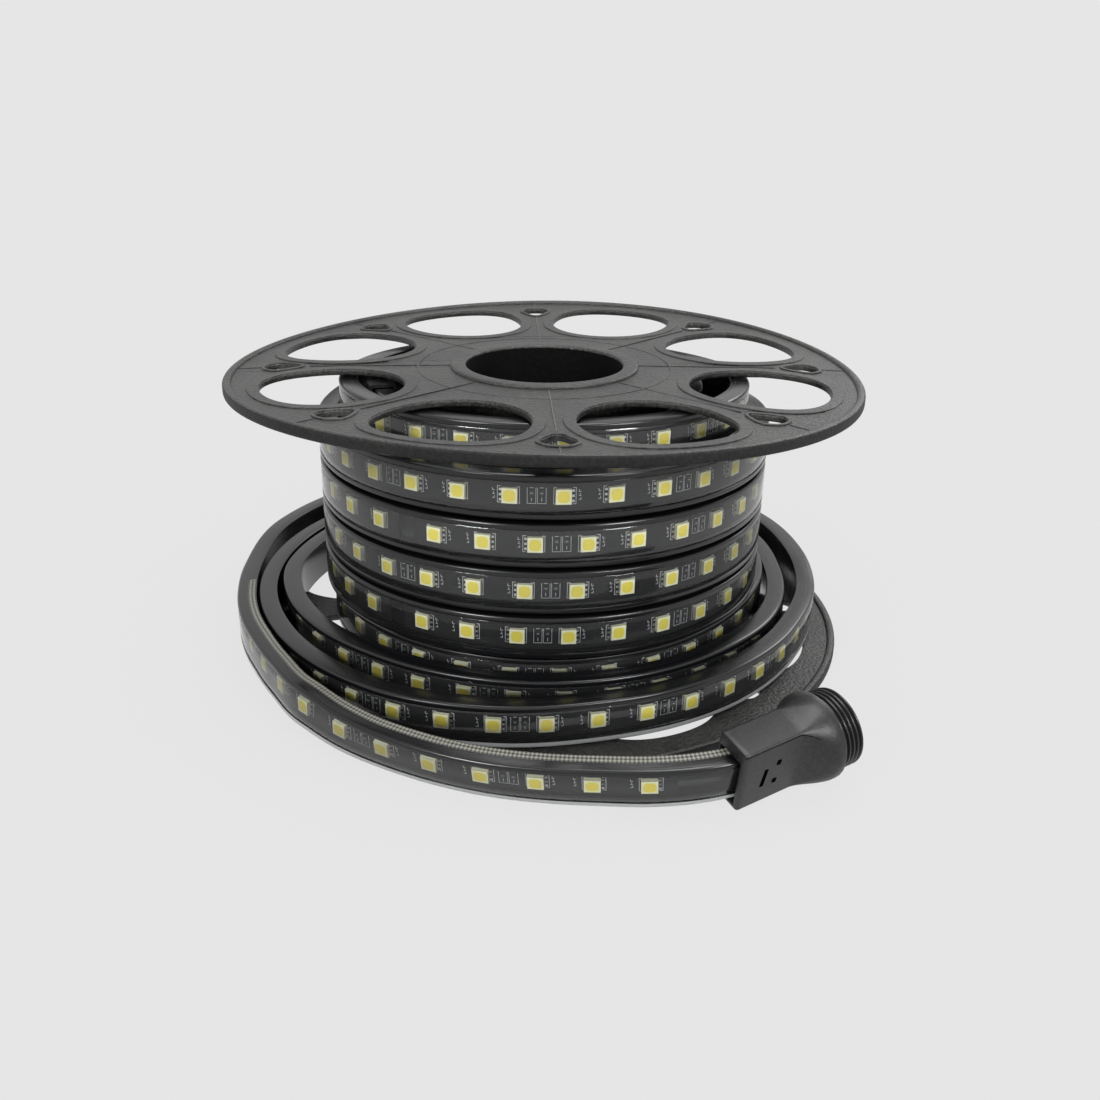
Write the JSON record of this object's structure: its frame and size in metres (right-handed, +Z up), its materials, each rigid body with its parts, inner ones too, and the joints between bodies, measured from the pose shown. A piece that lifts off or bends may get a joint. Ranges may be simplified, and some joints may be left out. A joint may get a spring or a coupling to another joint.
{
  "type": "led strip light",
  "caption": "Sleeved flexible LED strip wound on an open spoked plastic reel, loose outer turns round the lower flange, free end in a threaded waterproof connector.",
  "frame": {"origin": "on the ground under the middle of the whole part's outline", "axes": "+Z up along the reel's axis, -Y towards the side the free end and its connector come round, +X to the right seen from there"},
  "size_m": [0.234, 0.2644, 0.105],
  "materials": {
    "reel_plastic": "fine-grained matte black moulding",
    "sleeve_pvc": "glossy black, clear over the lights",
    "tape_board": "black board carrying cream-framed yellow chips",
    "connector_rubber": "smooth matte black overmoulding",
    "connector_nylon": "satin black",
    "contact_metal": "plated, smooth"
  },
  "bodies": {
    "root": {"reel_lower_half": "reel_plastic", "reel_upper_half": "reel_plastic", "strip_sleeve": "sleeve_pvc", "led_tape_1": "tape_board", "led_tape_2": "tape_board", "led_tape_3": "tape_board", "led_tape_4": "tape_board", "led_tape_5": "tape_board", "led_tape_6": "tape_board", "connector_body": "connector_rubber", "threaded_sleeve": "connector_nylon", "contact_carrier": "connector_nylon", "contact_pin_left": "contact_metal", "contact_pin_right": "contact_metal", "strip_end_cap": "connector_rubber"}
  },
  "joints": []
}
